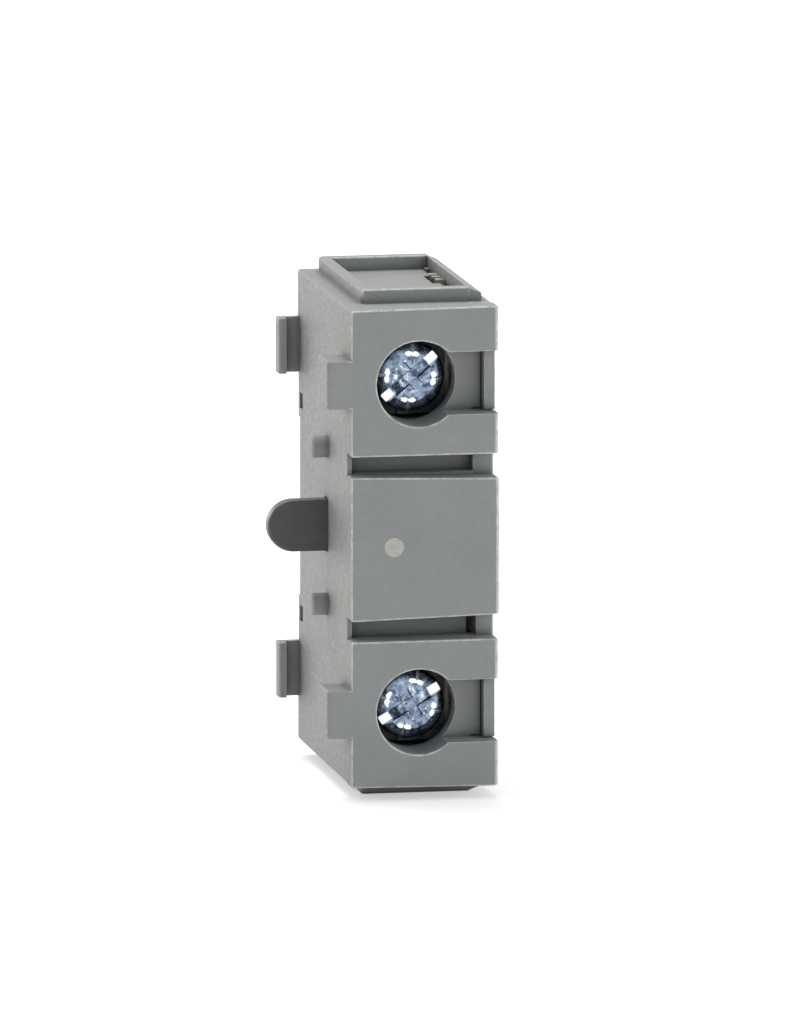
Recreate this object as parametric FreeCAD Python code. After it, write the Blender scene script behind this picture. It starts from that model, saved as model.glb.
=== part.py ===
# Auxiliary contact block for mounting on the side of a switch.
# X runs from the mounting side to the cover, Y from the front to the back, Z up.
# The origin is on the mounting side, at mid height and mid depth of the case.

import FreeCAD, Part
import math
import os

V = FreeCAD.Vector

# Two places nearer than this count as one
tiny = 1e-4

# Case, in millimetres
width = 13.75
depth = 27.15
height = 44.25
cover_thickness = 1.95
cover_setback = 2.15
cover_step = 0.4
side_wall = 1.3
block_fillet = 0.25
cover_side_fillet = 0.5
top_edge_fillet = 0.25
bottom_edge_fillet = 0.45
fit_gap = 0.1

# Front blocks and the grooves between them
middle_height = 13.4
middle_taper = 0.35
middle_overhang = 0.1
tower_flare = 0.15
groove_height = 1.85
groove_depth = 3.9
groove_lip = 0.45

# Latch notch beside the cover in the lower groove
latch_width = 0.35
latch_cover_width = 0.3
latch_depth = 1.1
latch_nib = 0.5

# Back recess, and the shallow step and window beside each hook
back_recess_height = 16.8
back_recess_depth = 1.0
side_step_depth = 0.05
side_step_reach = 3.2
window_size = 1.5
window_depth = 0.6
window_spacing = 20.0
window_margin = 0.7

# Rims on both ends
rim_height = 1.32
rim_wall = 1.1
rim_side_inset = 1.7
rim_front_inset = 4.4
rim_back_inset = 1.0
rim_corner = 0.5
rim_round = 0.25
cover_rim_wall = 1.15
cover_rim_drop = 0.1
cover_rim_slope = 0.45
slit_width = 0.5
slit_depth = 0.8
slit_margin = 0.35
nib_length = 1.1
nib_rise = 0.2

# Terminals
terminal_spacing = 30.4
well_offset = 0.225
well_diameter = 7.9
slot_height = 5.8
slot_depth = 3.3
well_chamfer = 0.12
tongue_thickness = 1.0
tongue_setback = 2.0
rebate_depth = 4.6

# Terminal screw and what it clamps
screw_diameter = 3.5
head_diameter = 6.6
head_height = 2.0
head_flat = 4.6
head_skirt = 0.7
head_depth = 4.6
drive_slot_width = 0.95
drive_slot_depth = 0.95
drive_cross_reach = 1.9
drive_cross_width = 1.0
drive_cross_floor = 0.85
drive_cross_depth = 1.5
drive_mark_start = 1.1
drive_mark_length = 0.8
drive_mark_width = 0.22
drive_mark_depth = 0.15
upper_drive_angle = 40.0
lower_drive_angle = 30.0
lock_washer_thickness = 0.8
lock_washer_step = 0.3
lock_washer_split = 0.4
clamp_size = 7.5
clamp_thickness = 0.9
clamp_corner = 0.8
clamp_lug = 0.5
clamp_lug_width = 1.6
strip_thickness = 0.8
nut_size = 5.6
nut_thickness = 2.6
nut_corner = 0.4
screw_end_reach = 0.7
screw_end_gap = 0.5
screw_end_chamfer = 0.35
screw_lift = 2.0
lift_gap = 0.3
chamber_gap = 0.4
hole_gap = 0.15
thread_gap = 0.04

# Terminal strip
strip_plate_height = 7.4
strip_plate_margin = 1.45
strip_tip_margin = 0.1
strip_end_margin = 0.3
strip_bend = 0.3
tail_front = 2.5
tail_back = 6.7
tail_rise = 0.3
tail_teeth = 3
tail_notch_width = 0.6
tail_notch_depth = 0.55
tail_gap = 0.25

# Plunger and what moves with it
blade_reach = 5.57
blade_height = 4.8
blade_thickness = 1.6
blade_round = 0.25
blade_y = -0.9
blade_z = 0.48
plunger_travel = 3.0
carrier_margin = 0.9
carrier_height = 7.2
carrier_length = 2.05
carrier_round = 0.4
carrier_gap = 0.05
hub_diameter = 3.4
hub_bore = 2.4
hub_end_gap = 0.08
bore_wall = 0.55

# Contacts
closed_gap = 0.02
tip_diameter = 2.6
tip_height = 0.5
tip_chamfer = 0.2
tip_shank = 1.4
tip_spacing = 11.2
bridge_thickness = 0.6
bridge_arm_margin = 0.2
bridge_ring_wall = 1.3
bridge_neck = 0.8
bridge_lost_motion = 0.9
bridge_room_gap = 0.75
bridge_side_gap = 0.4
retainer_rim = 0.5
retainer_thickness = 0.5
retainer_mouth = 1.4
retainer_gap = 0.03
hub_groove = 0.2

# Springs
contact_wire = 0.35
contact_turns = 4
return_wire = 0.28
return_turns = 8
coil_gap = 0.12
wire_sides = 8
spigot_length = 1.2

# Locating pegs, tabs and hooks on the mounting side
peg_diameter = 2.05
peg_length = 1.6
peg_spacing = 14.66
peg_y = -1.5
peg_z = 0.48
peg_chamfer = 0.15
tab_reach = 2.2
tab_height = 4.45
tab_thickness = 4.5
tab_spacing = 30.5
tab_round = 0.4
hook_spacing = 30.4
hook_height = 5.15
hook_reach = 2.12
hook_lip = 0.7
hook_forward = 1.9
hook_stem = 0.8
small_round = 0.2

# Cover pins and the core-outs behind the terminals
pin_diameter = 1.5
pin_length = 3.0
pin_edge = 1.9
pocket_size = 3.6
pocket_rib = 1.0
pocket_floor = 1.4
pin_end_gap = 0.2

# Places worked out from the sizes above
front = -depth / 2
back = depth / 2
top = height / 2
cover_x = width - cover_thickness
lip_y = front + cover_setback
middle_top = middle_height / 2
tower_bottom = middle_top + groove_height
terminal_z = terminal_spacing / 2
head_top = front + head_depth
head_seat = head_top + head_height
cover_front = lip_y + cover_step
clamp_front = head_seat + lock_washer_thickness
strip_front = clamp_front + clamp_thickness
nut_front = strip_front + strip_thickness
nut_back = nut_front + nut_thickness
screw_end = nut_back + screw_end_reach
strip_x = cover_x - fit_gap / 2 - strip_thickness
well_x = (side_wall + strip_x) / 2 + well_offset
chamber_front = clamp_front - screw_lift - lift_gap
chamber_half = max(clamp_size, strip_plate_height) / 2 + chamber_gap
fixed_face = strip_x - tip_height
contact_gap = plunger_travel - bridge_lost_motion + closed_gap
tip_face = fixed_face - contact_gap
bridge_x = tip_face - tip_height - bridge_thickness
room_x = bridge_x - bridge_room_gap
carrier_x = side_wall + carrier_gap
carrier_end = carrier_x + carrier_length
carrier_half = hub_diameter / 2 + carrier_margin
bore_floor = carrier_x + bore_wall
hub_end = cover_x - plunger_travel - hub_end_gap
tip_z = tip_spacing / 2
arm_half = tip_diameter / 2 + bridge_arm_margin
ring_radius = hub_diameter / 2 + bridge_ring_wall
contact_coil = hub_diameter + 2 * coil_gap + contact_wire
return_coil = hub_bore - 2 * coil_gap - return_wire
spigot_diameter = return_coil - return_wire - 2 * coil_gap
leg_half = tip_diameter / 2 + strip_tip_margin
leg_end = tip_z - tip_diameter / 2 - strip_end_margin


def box(x0, x1, y0, y1, z0, z1):
    return Part.makeBox(x1 - x0, y1 - y0, z1 - z0, V(x0, y0, z0))


def rod_x(radius, x0, x1, y=0.0, z=0.0):
    return Part.makeCylinder(radius, x1 - x0, V(x0, y, z), V(1, 0, 0))


def rod_y(radius, y0, y1, x=0.0, z=0.0):
    return Part.makeCylinder(radius, y1 - y0, V(x, y0, z), V(0, 1, 0))


def prism(points, direction):
    wire = Part.makePolygon(list(points) + [points[0]])
    return Part.Face(wire).extrude(direction)


def edges_along(shape, axis, where):
    """Straight edges parallel to an axis whose middle satisfies a test."""
    found = []
    for edge in shape.Edges:
        if edge.Curve.TypeId != "Part::GeomLine":
            continue
        run = edge.Vertexes[-1].Point - edge.Vertexes[0].Point
        if run.Length < tiny or run.cross(axis).Length > tiny:
            continue
        if where(edge.CenterOfMass):
            found.append(edge)
    return found


def near(a, b):
    return abs(a - b) < tiny


def both_ends(shape):
    """A shape and its mirror image in the mid-plane."""
    return [shape, shape.mirror(V(0, 0, 0), V(0, 0, 1))]


def front_blocks():
    """The two towers and the tapered middle block between them."""
    run = V(0, lip_y - front, 0)
    tower = prism(
        [
            V(0, front, tower_bottom),
            V(width, front, tower_bottom),
            V(width, front, top + tower_flare),
            V(0, front, top),
        ],
        run,
    )
    middle_x = width + middle_overhang
    middle = prism(
        [
            V(0, front, middle_top),
            V(middle_x, front, middle_top - middle_taper),
            V(middle_x, front, middle_taper - middle_top),
            V(0, front, -middle_top),
        ],
        run,
    )
    return both_ends(tower) + [middle]


def rounded_front(shape):
    """Round a front block, more on the cover side, apart from its back edges."""
    shape = shape.makeFillet(
        cover_side_fillet,
        edges_along(shape, V(0, 0, 1), lambda c: near(c.y, front) and c.x > width / 2))
    edges = []
    for edge in shape.Edges:
        middle = edge.CenterOfMass
        upright = edge.BoundBox.XLength < tiny and edge.BoundBox.YLength < tiny
        if middle.y < lip_y - tiny and not (upright and middle.x > width / 2):
            edges.append(edge)
    return shape.makeFillet(block_fillet, edges)


def end_rim():
    """The raised rim on the upper end, open towards the cover."""
    x0 = rim_side_inset
    y0 = front + rim_front_inset
    y1 = back - rim_back_inset
    z1 = top + rim_height
    rim = box(x0, cover_x, y0, y1, top, z1)
    rim = rim.makeFillet(rim_corner, edges_along(rim, V(0, 0, 1), lambda c: near(c.x, x0)))
    rim = rim.cut(box(x0 + rim_wall, cover_x, y0 + rim_wall, y1 - rim_wall, top, z1))
    upper = [
        e for e in rim.Edges
        if near(e.CenterOfMass.z, z1) and e.CenterOfMass.x < cover_x - tiny
    ]
    return rim.makeFillet(rim_round, upper)


def slit_ends():
    """Where the slit beside the cover starts and ends inside the rim."""
    start = front + rim_front_inset + rim_wall + slit_margin
    end = back - rim_back_inset - rim_wall - slit_margin
    return start, end


def top_slit():
    """The slit along the cover, inside the upper rim."""
    start, end = slit_ends()
    return box(cover_x - slit_width, cover_x, start, end, top - slit_depth, top)


def slit_nibs():
    """Nibs of the cover that stand in both ends of the upper slit."""
    start, end = slit_ends()
    x0 = cover_x - slit_width + fit_gap
    z0 = top - slit_depth + fit_gap
    z1 = top + nib_rise
    return [
        box(x0, cover_x, start + fit_gap, start + nib_length, z0, z1),
        box(x0, cover_x, end - nib_length, end - fit_gap, z0, z1),
    ]


def hook():
    """One hook at the back edge, its lip turned towards the front."""
    z0 = hook_spacing / 2 - hook_height / 2
    z1 = z0 + hook_height
    stem = box(-hook_reach, 0, back - hook_stem, back, z0, z1)
    lip = box(-hook_reach, hook_lip - hook_reach, back - hook_forward, back, z0, z1)
    shape = stem.fuse(lip).removeSplitter()
    outer = edges_along(shape, V(0, 0, 1), lambda c: near(c.x, -hook_reach))
    return shape.makeFillet(small_round, outer)


def peg(z):
    """One locating peg on the mounting side."""
    shape = rod_x(peg_diameter / 2, -peg_length, 0, peg_y, z)
    return shape.makeChamfer(peg_chamfer, [e for e in shape.Edges if near(e.CenterOfMass.x, -peg_length)])


def tab():
    """One flat tab that runs out of a front block, flush with its front."""
    z0 = tab_spacing / 2 - tab_height / 2
    shape = box(-tab_reach, 2 * block_fillet, front, front + tab_thickness, z0, z0 + tab_height)
    corner = edges_along(shape, V(0, 0, 1), lambda c: near(c.x, -tab_reach) and near(c.y, front))
    shape = shape.makeFillet(tab_round, corner)
    flat = [e for e in shape.Edges if near(e.CenterOfMass.z, z0) or near(e.CenterOfMass.z, z0 + tab_height)]
    return shape.makeFillet(small_round, [e for e in flat if e.CenterOfMass.x < block_fillet])


def side_relief():
    """The shallow step from the back recess to the upper hook, and the window in it."""
    z0 = back_recess_height / 2
    z1 = hook_spacing / 2 - hook_height / 2
    step = box(0, side_step_depth, back - side_step_reach, back, z0, z1)
    middle = window_spacing / 2
    y1 = back - window_margin
    window = box(
        0, window_depth, y1 - window_size, y1, middle - window_size / 2, middle + window_size / 2)
    return [step, window]


def latch_notch():
    """The notch beside the cover in the lower groove."""
    return box(
        cover_x - latch_width, cover_x + latch_cover_width, cover_front, front + groove_depth + latch_depth,
        -tower_bottom, -middle_top)


def latch():
    """The cover's small wedge in the notch of the lower groove."""
    y0 = front + groove_depth + fit_gap
    y1 = front + groove_depth + latch_depth - fit_gap
    z0 = fit_gap - tower_bottom
    z1 = -middle_top - fit_gap
    x1 = cover_x + latch_cover_width
    tip = x1 - latch_nib
    return prism([V(x1, y0, z0), V(x1, y1, z0), V(tip, y1, z0)], V(0, 0, z1 - z0))


def strip_outline(gap):
    """Outline of the strip's leg in the plane beside the cover, or of its room."""
    plate0 = terminal_z - strip_plate_height / 2
    plate1 = terminal_z + strip_plate_height / 2
    tail_top = top + tail_rise if gap == 0 else top + rim_height
    return [
        (strip_front - gap, plate0 - gap),
        (-leg_half - gap, plate0 - gap),
        (-leg_half - gap, leg_end - gap),
        (leg_half + gap, leg_end - gap),
        (leg_half + gap, plate0 - gap),
        (tail_back + gap, plate1 - (tail_back - leg_half) - gap),
        (tail_back + gap, tail_top),
        (tail_front - gap, tail_top),
        (tail_front - gap, plate1 + gap),
        (strip_front - gap, plate1 + gap),
    ]


def leg_prism(gap, x0, x1):
    return prism([V(x0, y, z) for y, z in strip_outline(gap)], V(x1 - x0, 0, 0))


def terminal_cuts():
    """What is cut out of the case for the upper terminal."""
    z = terminal_z
    well = rod_y(well_diameter / 2, front, chamber_front, well_x, z)
    half_slot = slot_height / 2
    slot = box(well_x, width, front, front + slot_depth, z - half_slot, z + half_slot)
    chamber = box(side_wall, cover_x, chamber_front, nut_front, z - chamber_half, z + chamber_half)
    half_nut = nut_size / 2 + fit_gap
    nut_seat = box(
        well_x - half_nut, well_x + half_nut, nut_front, nut_back + fit_gap,
        z - half_nut, z + half_nut)
    nut_way = box(well_x, cover_x, nut_front, nut_back + fit_gap, z - half_nut, z + half_nut)
    shank_room = rod_y(screw_diameter / 2 + hole_gap, nut_back, screw_end + screw_end_gap, well_x, z)
    leg_room = leg_prism(tail_gap, strip_x - strip_bend - fit_gap, cover_x)
    well_mouth = Part.makeCone(
        well_diameter / 2 + well_chamfer, well_diameter / 2, well_chamfer, V(well_x, front, z), V(0, 1, 0))
    return [well, slot, chamber, nut_seat, nut_way, shank_room, leg_room, well_mouth]


def slot_floor():
    """The floor of the upper side slot where it runs on into the cover's rebate."""
    half = slot_height / 2 - fit_gap
    return box(
        well_x, width - tongue_thickness - fit_gap, front + slot_depth,
        front + rebate_depth - fit_gap, terminal_z - half, terminal_z + half)


def core_outs():
    """Blind pockets behind the upper terminal, open towards the cover."""
    pockets = []
    first_y = screw_end + screw_end_gap + pocket_rib
    first_z = tower_bottom + pocket_rib
    step = pocket_size + pocket_rib
    rows = int((back - side_wall - first_y + pocket_rib) // step)
    levels = int((top - side_wall - first_z + pocket_rib) // step)
    for row in range(rows):
        for level in range(levels):
            y = first_y + row * step
            z = first_z + level * step
            pockets.append(box(pocket_floor, cover_x, y, y + pocket_size, z, z + pocket_size))
    return pockets


def contact_room():
    """Room for the carrier, the bridge and the plunger's blade."""
    guide = box(
        side_wall, room_x, -carrier_half - fit_gap, carrier_half + fit_gap,
        -carrier_height / 2 - fit_gap, carrier_height / 2 + fit_gap)
    half_y = ring_radius + bridge_side_gap
    half_z = tip_z + arm_half + bridge_side_gap
    bridge_room = box(room_x, cover_x, -half_y, half_y, -half_z, half_z)
    half_blade_y = blade_thickness / 2 + fit_gap
    half_blade_z = blade_height / 2 + fit_gap
    blade_way = box(
        0, side_wall, blade_y - half_blade_y, blade_y + half_blade_y,
        blade_z - half_blade_z, blade_z + half_blade_z)
    return [guide, bridge_room, blade_way]


def pin_places():
    z = top - pin_edge
    places = []
    for y in (lip_y + pin_edge, back - pin_edge):
        for side in (1, -1):
            places.append((y, side * z))
    return places


def make_housing():
    body = box(0, cover_x, lip_y, back, -top, top)
    for side, radius in ((top, top_edge_fillet), (-top, bottom_edge_fillet)):
        edge = edges_along(body, V(0, 1, 0), lambda c: near(c.x, 0) and near(c.z, side))
        body = body.makeFillet(radius, edge)
    shape = body.fuse([rounded_front(b) for b in front_blocks()])
    shape = shape.fuse(both_ends(end_rim()) + both_ends(hook()) + both_ends(tab()))
    shape = shape.fuse([peg(peg_z + peg_spacing / 2), peg(peg_z - peg_spacing / 2)] + both_ends(slot_floor()))

    cuts = [box(0, width, back - back_recess_depth, back, -back_recess_height / 2,
                back_recess_height / 2), latch_notch()]
    for cut in side_relief() + [top_slit()]:
        cuts += both_ends(cut)
    channel = box(groove_lip, cover_x, lip_y, front + groove_depth, middle_top, tower_bottom)
    cuts += both_ends(channel)
    for cut in terminal_cuts() + core_outs():
        cuts += both_ends(cut)
    cuts += contact_room()
    for y, z in pin_places():
        cuts.append(rod_x(pin_diameter / 2 + fit_gap / 2, cover_x - pin_length - pin_end_gap, cover_x,
                          y, z))
    return shape.cut(cuts).removeSplitter()


def make_cover():
    plate = box(cover_x, width, cover_front, back, -top, top)
    outer = [e for e in plate.Edges if near(e.CenterOfMass.x, width)]
    plate = plate.makeFillet(block_fillet, outer)
    half_slot = slot_height / 2 - fit_gap
    x0 = width - tongue_thickness
    tongue = box(
        x0, width, front + tongue_setback, front + rebate_depth,
        terminal_z - half_slot, terminal_z + half_slot)
    rim_top = top + rim_height - cover_rim_drop
    rim_x = cover_x + cover_rim_wall
    rim_y = front + rim_front_inset
    rim = prism(
        [
            V(cover_x, rim_y, top),
            V(rim_x, rim_y, top),
            V(rim_x, rim_y, rim_top - cover_rim_slope),
            V(cover_x, rim_y, rim_top),
        ],
        V(0, back - rim_back_inset - rim_y, 0),
    )
    outer = edges_along(rim, V(0, 1, 0), lambda c: near(c.x, rim_x) and c.z > top + tiny)
    rim = rim.makeFillet(small_round, outer)
    rebate = box(
        cover_x, x0, cover_front, front + rebate_depth,
        terminal_z - slot_height / 2, terminal_z + slot_height / 2)
    recess = box(
        cover_x, width, back - back_recess_depth, back, -back_recess_height / 2, back_recess_height / 2)
    spigot = rod_x(spigot_diameter / 2, cover_x - spigot_length, cover_x)
    pins = [rod_x(pin_diameter / 2, cover_x - pin_length, cover_x, y, z) for y, z in pin_places()]
    shape = plate.cut(both_ends(rebate) + [recess, latch_notch()])
    nibs = []
    for nib in slit_nibs():
        nibs += both_ends(nib)
    return shape.fuse(both_ends(tongue) + both_ends(rim) + [spigot, latch()] + pins + nibs).removeSplitter()


def make_strip():
    """The upper strip: a plate under the screw, bent into a leg beside the cover."""
    z0 = terminal_z - strip_plate_height / 2
    leg = leg_prism(0, strip_x, strip_x + strip_thickness)
    start = well_x - nut_size / 2 - strip_plate_margin
    plate = box(start, strip_x, strip_front, nut_front, z0, z0 + strip_plate_height)
    shape = leg.fuse(plate).removeSplitter()
    outer = edges_along(
        shape, V(0, 0, 1),
        lambda c: near(c.x, strip_x + strip_thickness) and near(c.y, strip_front))
    shape = shape.makeFillet(strip_bend + strip_thickness, outer)
    inner = edges_along(
        shape, V(0, 0, 1), lambda c: near(c.x, strip_x) and near(c.y, nut_front))
    shape = shape.makeFillet(strip_bend, inner)
    hole = rod_y(screw_diameter / 2 + hole_gap, strip_front, nut_front, well_x, terminal_z)
    rivet = rod_x(tip_shank / 2 + thread_gap, strip_x, strip_x + strip_thickness, 0, tip_z)
    pitch = (tail_back - tail_front + tail_notch_width) / tail_teeth
    tail_top = top + tail_rise
    notches = []
    for number in range(1, tail_teeth):
        y = tail_front + number * pitch - tail_notch_width
        notches.append(box(
            strip_x, strip_x + strip_thickness, y, y + tail_notch_width, tail_top - tail_notch_depth, tail_top))
    return shape.cut([hole, rivet] + notches)


def make_tip(face, toward, through):
    """A contact rivet: a bevelled head on the face side and a shank through the sheet."""
    head = rod_x(tip_diameter / 2, min(face, face + toward * tip_height),
                 max(face, face + toward * tip_height), 0, tip_z)
    rim = [e for e in head.Edges if near(e.CenterOfMass.x, face + toward * tip_height)]
    head = head.makeChamfer(tip_chamfer, rim)
    shank = rod_x(tip_shank / 2, min(face, face - toward * through), max(face, face - toward * through),
                  0, tip_z)
    return head.fuse(shank).removeSplitter()


def make_bridge():
    """The bridge: a ring round the hub with two arms for the contact rivets."""
    x1 = bridge_x + bridge_thickness
    arms = box(bridge_x, x1, -arm_half, arm_half, -tip_z, tip_z)
    rounds = [rod_x(arm_half, bridge_x, x1, 0, s * tip_z) for s in (1, -1)]
    ring = rod_x(ring_radius, bridge_x, x1)
    shape = arms.fuse(rounds + [ring]).removeSplitter()
    necks = edges_along(
        shape, V(1, 0, 0), lambda c: near(abs(c.y), arm_half) and abs(c.z) < ring_radius)
    shape = shape.makeFillet(bridge_neck, necks)
    hub_hole = rod_x(hub_diameter / 2 + fit_gap, bridge_x, x1)
    rivets = [rod_x(tip_shank / 2 + thread_gap, bridge_x, x1, 0, s * tip_z) for s in (1, -1)]
    return shape.cut([hub_hole] + rivets)


def make_plunger():
    """The push blade, the carrier inside the case and the hub for both springs."""
    round_x = blade_height / 2 - blade_reach
    y0 = blade_y - blade_thickness / 2
    y1 = blade_y + blade_thickness / 2
    blade = box(round_x, carrier_x, y0, y1, blade_z - blade_height / 2, blade_z + blade_height / 2)
    nose = rod_y(blade_height / 2, y0, y1, round_x, blade_z)
    shape = blade.fuse(nose).removeSplitter()
    outline = [e for e in shape.Edges if near(abs(e.CenterOfMass.y - blade_y), blade_thickness / 2)
               and e.CenterOfMass.x < carrier_x - tiny]
    shape = shape.makeFillet(blade_round, outline)
    carrier = box(carrier_x, carrier_end, -carrier_half, carrier_half, -carrier_height / 2,
                  carrier_height / 2)
    carrier = carrier.makeFillet(carrier_round, edges_along(carrier, V(1, 0, 0), lambda c: True))
    hub = rod_x(hub_diameter / 2, carrier_end, hub_end)
    shape = shape.fuse([carrier, hub]).removeSplitter()
    groove_x = bridge_x + bridge_thickness
    groove_end = groove_x + retainer_thickness + 2 * retainer_gap
    ring = rod_x(hub_diameter / 2, groove_x, groove_end)
    core = rod_x(hub_diameter / 2 - hub_groove, groove_x, groove_end)
    bore = rod_x(hub_bore / 2, bore_floor, hub_end)
    return shape.cut([ring.cut(core), bore])


def make_retainer():
    """A push-on washer with a gap, seated in the groove of the hub."""
    x0 = bridge_x + bridge_thickness + retainer_gap
    x1 = x0 + retainer_thickness
    outer = hub_diameter / 2 + retainer_rim
    disc = rod_x(outer, x0, x1)
    hole = rod_x(hub_diameter / 2 - hub_groove + retainer_gap, x0, x1)
    mouth = box(x0, x1, 0, outer, -retainer_mouth / 2, retainer_mouth / 2)
    return disc.cut([hole, mouth])


def coil(wire, mean_diameter, x0, x1, turns):
    """A coil spring along X, of a many-sided wire turned half a turn at a time about a tilted axis."""
    rise = (x1 - x0 - wire) / turns / 2
    corners = []
    for number in range(wire_sides + 1):
        angle = 2 * math.pi * number / wire_sides
        corners.append(V(
            x0 + wire / 2 + wire / 2 * math.cos(angle), 0, mean_diameter / 2 + wire / 2 * math.sin(angle)))
    section = Part.Face(Part.makePolygon(corners))
    faces = [section]
    for half in range(2 * turns):
        side = 1 if half % 2 == 0 else -1
        x = x0 + wire / 2 + half * rise
        start = V(x, 0, side * mean_diameter / 2)
        end = V(x + rise, 0, -side * mean_diameter / 2)
        centre = (start + end) * 0.5
        axis = (start - centre).cross(V(0, side, 0))
        turned = section.revolve(centre, axis, 180)
        faces += [face for face in turned.Faces if face.BoundBox.YLength > wire]
        section = section.copy()
        section.rotate(centre, axis, 180)
    shell = Part.makeShell(faces + [section])
    shell.sewShape()
    return Part.makeSolid(shell)


def head_profile():
    """Half of the screw's outline as pairs of radius and depth, with the dome as an arc."""
    wide = head_diameter / 2
    flat = head_flat / 2
    skirt_y = head_seat - head_skirt
    rise = skirt_y - head_top
    dome = ((wide - flat) ** 2 + rise ** 2) / (wide - flat) / 2
    turn = math.asin(rise / dome) / 2
    on_dome = (wide - dome + dome * math.cos(turn), skirt_y - dome * math.sin(turn))
    shank = screw_diameter / 2
    return [
        (0, head_top), (flat, head_top), on_dome, (wide, skirt_y), (wide, head_seat), (shank, head_seat),
        (shank, screw_end - screw_end_chamfer), (shank - screw_end_chamfer, screw_end), (0, screw_end),
    ]


def make_screw(drive_angle):
    """The terminal screw, its head slotted and cross-recessed, its thread left smooth."""
    points = [V(well_x + radius, y, terminal_z) for radius, y in head_profile()]
    outline = [Part.makeLine(points[0], points[1]), Part.Arc(*points[1:4]).toShape()]
    for first, second in zip(points[3:], points[4:] + points[:1]):
        outline.append(Part.makeLine(first, second))
    screw = Part.Face(Part.Wire(outline)).revolve(points[0], V(0, 1, 0), 360)

    half = drive_slot_width / 2
    clear = head_top - fit_gap
    cuts = [box(
        well_x - head_diameter, well_x + head_diameter, clear, head_top + drive_slot_depth,
        terminal_z - half, terminal_z + half)]
    half = drive_cross_width / 2
    for angle in (0, 90):
        wing = prism(
            [
                V(well_x - drive_cross_reach, clear, terminal_z - half),
                V(well_x + drive_cross_reach, clear, terminal_z - half),
                V(well_x + drive_cross_floor, head_top + drive_cross_depth, terminal_z - half),
                V(well_x - drive_cross_floor, head_top + drive_cross_depth, terminal_z - half),
            ],
            V(0, 0, drive_cross_width),
        )
        wing.rotate(V(well_x, 0, terminal_z), V(0, 1, 0), angle)
        cuts.append(wing)
    half = drive_mark_width / 2
    start = well_x + drive_mark_start
    for angle in (45, 135, 225, 315):
        mark = box(
            start, start + drive_mark_length, clear, head_top + drive_mark_depth,
            terminal_z - half, terminal_z + half)
        mark.rotate(V(well_x, 0, terminal_z), V(0, 1, 0), angle)
        cuts.append(mark)
    screw = screw.cut(cuts).removeSplitter()
    screw.rotate(V(well_x, 0, terminal_z), V(0, 1, 0), -drive_angle)
    return screw


def make_lock_washer():
    """A split spring washer, cut through at one side."""
    outer = head_diameter / 2 - lock_washer_step
    ring = rod_y(outer, head_seat, clamp_front, well_x, terminal_z)
    hole = rod_y(screw_diameter / 2 + hole_gap, head_seat, clamp_front, well_x, terminal_z)
    half = lock_washer_split / 2
    split = box(
        well_x - half, well_x + half, head_seat, clamp_front, terminal_z - 2 * outer, terminal_z)
    return ring.cut([hole, split])


def make_clamp():
    """A square clamp plate with a small lug turned up below the screw head."""
    half = clamp_size / 2
    plate = box(
        well_x - half, well_x + half, clamp_front, clamp_front + clamp_thickness,
        terminal_z - half, terminal_z + half)
    plate = plate.makeFillet(clamp_corner, edges_along(plate, V(0, 1, 0), lambda c: True))
    lug_half = clamp_lug_width / 2
    lug = box(
        well_x - lug_half, well_x + lug_half, clamp_front - clamp_lug, clamp_front,
        terminal_z - half, terminal_z - half + clamp_lug)
    hole = rod_y(screw_diameter / 2 + hole_gap, clamp_front, clamp_front + clamp_thickness,
                 well_x, terminal_z)
    return plate.fuse(lug).removeSplitter().cut(hole)


def make_nut():
    half = nut_size / 2
    block = box(well_x - half, well_x + half, nut_front, nut_back, terminal_z - half, terminal_z + half)
    corners = edges_along(block, V(0, 1, 0), lambda c: True)
    block = block.makeChamfer(nut_corner, corners)
    hole = rod_y(screw_diameter / 2 + thread_gap, nut_front, nut_back, well_x, terminal_z)
    return block.cut(hole)


def moved_down(shape):
    """The same piece at the lower terminal."""
    copy = shape.copy()
    copy.translate(V(0, 0, -terminal_spacing))
    return copy


def mirrored(shape):
    return shape.mirror(V(0, 0, 0), V(0, 0, 1))


def build():
    parts = {
        "housing": make_housing(),
        "side_cover": make_cover(),
        "plunger": make_plunger(),
        "contact_bridge": make_bridge(),
        "bridge_retainer": make_retainer(),
        "contact_spring": coil(contact_wire, contact_coil, carrier_end, bridge_x, contact_turns),
        "return_spring": coil(return_wire, return_coil, bore_floor, cover_x, return_turns),
        "upper_terminal_strip": make_strip(),
        "upper_fixed_tip": make_tip(strip_x, -1, strip_thickness),
        "upper_bridge_tip": make_tip(bridge_x + bridge_thickness, 1, bridge_thickness),
        "upper_terminal_screw": make_screw(upper_drive_angle),
        "upper_lock_washer": make_lock_washer(),
        "upper_clamp_washer": make_clamp(),
        "upper_terminal_nut": make_nut(),
    }
    for name in ("terminal_strip", "fixed_tip", "bridge_tip"):
        parts["lower_" + name] = mirrored(parts["upper_" + name])
    for name in ("lock_washer", "clamp_washer", "terminal_nut"):
        parts["lower_" + name] = moved_down(parts["upper_" + name])
    parts["lower_terminal_screw"] = moved_down(make_screw(lower_drive_angle))
    return parts


def main():
    os.makedirs("parts", exist_ok=True)
    for name, shape in build().items():
        solids = shape.Solids
        if len(solids) != 1 or not shape.isValid():
            print("check", name, "solids", len(solids), "valid", shape.isValid())
        solids[0].exportStep(os.path.join("parts", name + ".step"))
        print(name, round(solids[0].Volume, 2))


main()
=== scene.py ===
# Auxiliary contact block: looks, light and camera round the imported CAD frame.
# Everything is in metres, in the frame of the CAD model. Lengths in the dictionaries are in millimetres.

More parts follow.
